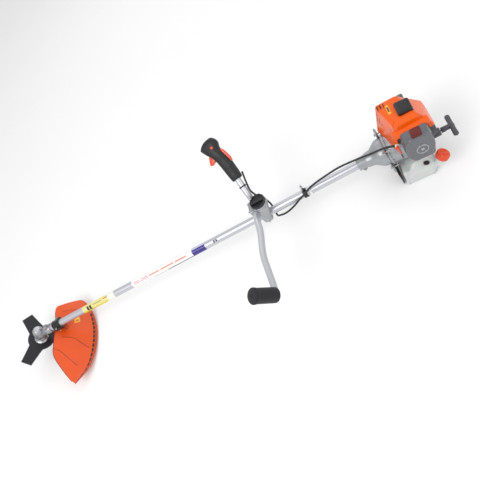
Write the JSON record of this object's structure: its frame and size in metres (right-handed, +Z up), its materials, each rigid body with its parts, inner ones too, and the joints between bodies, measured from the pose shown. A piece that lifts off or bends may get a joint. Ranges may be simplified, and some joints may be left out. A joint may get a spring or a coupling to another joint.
{
  "type": "string trimmer",
  "caption": "Petrol brush cutter: a long tube with two handlebars joins a rear two-stroke engine to a bevel gear head with a toothed blade under an orange guard.",
  "frame": {"origin": "middle of the machine on the ground, under the bounding box centre", "axes": "+X along the drive tube towards the engine, +Z up, +Y to the side that carries the throttle grip"},
  "size_m": [1.8664, 0.6141, 0.3615],
  "materials": {
    "cast_alloy": "cast, satin",
    "tube_alloy": "satin anodised",
    "machined_steel": "machined",
    "fastener_steel": "zinc plated",
    "flange_steel": "turned",
    "blade_black": "semi-gloss",
    "guard_orange": "satin",
    "cover_orange": "gloss",
    "control_orange": "satin",
    "black_plastic": "satin",
    "foam_black": "matt",
    "grip_black": "matt",
    "cable_black": "satin",
    "tie_white": "satin",
    "filter_grey": "satin metallic",
    "starter_grey": "satin",
    "tank_white": "translucent",
    "bulb_clear": "soft, clear",
    "muffler_steel": "heat stained",
    "ceramic_white": "glazed",
    "bush_rubber": "matt",
    "cast_iron_dark": "machined"
  },
  "bodies": {
    "frame": {"gear_case": "cast_alloy", "head_bearings": "machined_steel", "head_screws": "fastener_steel", "guard_shield": "guard_orange", "guard_clamp": "black_plastic", "guard_screws": "fastener_steel", "line_cutter": "machined_steel", "drive_tube": "tube_alloy", "shaft_bushes": "bush_rubber", "harness_clamp": "black_plastic", "bracket_body": "cast_alloy", "bracket_base": "cast_alloy", "bar_cap": "cast_alloy", "bracket_screws": "fastener_steel", "left_bar": "tube_alloy", "right_bar": "tube_alloy", "left_grip": "foam_black", "throttle_grip": "grip_black", "throttle_cable": "cable_black", "cable_ties": "tie_white", "clutch_housing": "cast_alloy", "housing_screws": "fastener_steel", "engine_bearings": "machined_steel", "fan_case": "cast_alloy", "crankcase": "cast_alloy", "cylinder": "cast_alloy", "spark_plug": "ceramic_white", "plug_cover": "black_plastic", "engine_cover": "cover_orange", "muffler": "muffler_steel", "carburettor": "cast_alloy", "air_filter": "filter_grey", "fuel_tank": "tank_white", "tank_stand": "black_plastic", "recoil_starter": "starter_grey"},
    "blade_set": {"crown_gear": "machined_steel", "output_shaft": "machined_steel", "upper_flange": "flange_steel", "blade": "blade_black", "lower_flange": "flange_steel", "blade_nut": "fastener_steel"},
    "drive_line": {"pinion_gear": "machined_steel", "drive_shaft": "machined_steel", "clutch_drum": "machined_steel"},
    "crank": {"crankshaft": "machined_steel", "flywheel": "cast_alloy", "clutch_shoes": "cast_iron_dark"},
    "piston_set": {"piston": "tube_alloy", "connecting_rod": "machined_steel"},
    "knob": {"bracket_knob": "black_plastic"},
    "ring": {"harness_ring": "fastener_steel"},
    "trigger": {"throttle_trigger": "control_orange"},
    "lever": {"safety_lever": "control_orange"},
    "switch": {"stop_switch": "control_orange"},
    "throttle_valve": {"throttle_barrel": "machined_steel"},
    "choke": {"choke_lever": "control_orange"},
    "primer": {"primer_bulb": "bulb_clear"},
    "tank_cap": {"fuel_cap": "control_orange"},
    "pulley": {"recoil_pulley": "black_plastic"},
    "pull": {"starter_handle": "starter_grey"}
  },
  "joints": [
    {"name": "blade_spin", "type": "hinge", "parent": "frame", "child": "blade_set", "pos_m": [-0.8417, 0.077, 0.125], "axis": [0.5736, 0, 0.8191], "continuous": true},
    {"name": "drive_shaft_spin", "type": "hinge", "parent": "frame", "child": "drive_line", "pos_m": [-0.7727, 0.077, 0.125], "axis": [1, 0, 0], "continuous": true},
    {"name": "crank_spin", "type": "hinge", "parent": "frame", "child": "crank", "pos_m": [0.7953, 0.077, 0.125], "axis": [1, 0, 0], "continuous": true},
    {"name": "piston_slide", "type": "slide", "parent": "frame", "child": "piston_set", "axis": [0, 0, 1], "range_m": [-0.03, 0]},
    {"name": "trigger_pull", "type": "hinge", "parent": "frame", "child": "trigger", "pos_m": [0.22413, 0.25923, 0.31335], "axis": [0.1545, 0.6691, -0.7269], "range_deg": [-20, 0], "stiffness_Nm_per_rad": 0.5, "springref_deg": 20.05},
    {"name": "safety_lever_press", "type": "hinge", "parent": "frame", "child": "lever", "pos_m": [0.25795, 0.25626, 0.31781], "axis": [0.1545, 0.6691, -0.7269], "range_deg": [0, 8], "stiffness_Nm_per_rad": 0.5, "springref_deg": -14.32},
    {"name": "stop_switch_slide", "type": "slide", "parent": "frame", "child": "switch", "axis": [-0.1391, 0.7431, 0.6545], "range_m": [0, 0.005]},
    {"name": "throttle_valve_turn", "type": "hinge", "parent": "frame", "child": "throttle_valve", "pos_m": [0.7953, 0.024, 0.185], "axis": [0, 0, 1], "range_deg": [-60, 0]},
    {"name": "choke_turn", "type": "hinge", "parent": "frame", "child": "choke", "pos_m": [0.7649, 0.003, 0.183], "axis": [0, 1, 0], "range_deg": [-70, 0]},
    {"name": "primer_push", "type": "slide", "parent": "frame", "child": "primer", "axis": [0, 0, 1], "range_m": [0, 0.004], "stiffness_N_per_m": 500, "springref_m": -0.002},
    {"name": "knob_turn", "type": "hinge", "parent": "frame", "child": "knob", "pos_m": [0.2933, 0.077, 0.1964], "axis": [0, 0, 1], "range_deg": [0, 1080]},
    {"name": "ring_swing", "type": "hinge", "parent": "frame", "child": "ring", "pos_m": [0.4363, 0.077, 0.146], "axis": [0, 1, 0], "range_deg": [-75, 65]},
    {"name": "tank_cap_turn", "type": "hinge", "parent": "frame", "child": "tank_cap", "pos_m": [0.8513, -0.003, 0.063], "axis": [0.6428, 0, 0.766], "range_deg": [0, 720]},
    {"name": "starter_pull", "type": "slide", "parent": "frame", "child": "pull", "axis": [1, 0, 0], "range_m": [0, 0.5], "stiffness_N_per_m": 20, "springref_m": -0.25},
    {"name": "recoil_pulley_turn", "type": "hinge", "parent": "frame", "child": "pulley", "pos_m": [0.8493, 0.077, 0.125], "axis": [1, 0, 0], "range_deg": [0, 1000]}
  ],
  "couplings": [
    {"joint": "drive_shaft_spin", "follows": "blade_spin", "ratio": -1.3571},
    {"joint": "throttle_valve_turn", "follows": "trigger_pull", "ratio": 3},
    {"joint": "recoil_pulley_turn", "follows": "starter_pull", "rad_per_m": 34.5}
  ]
}
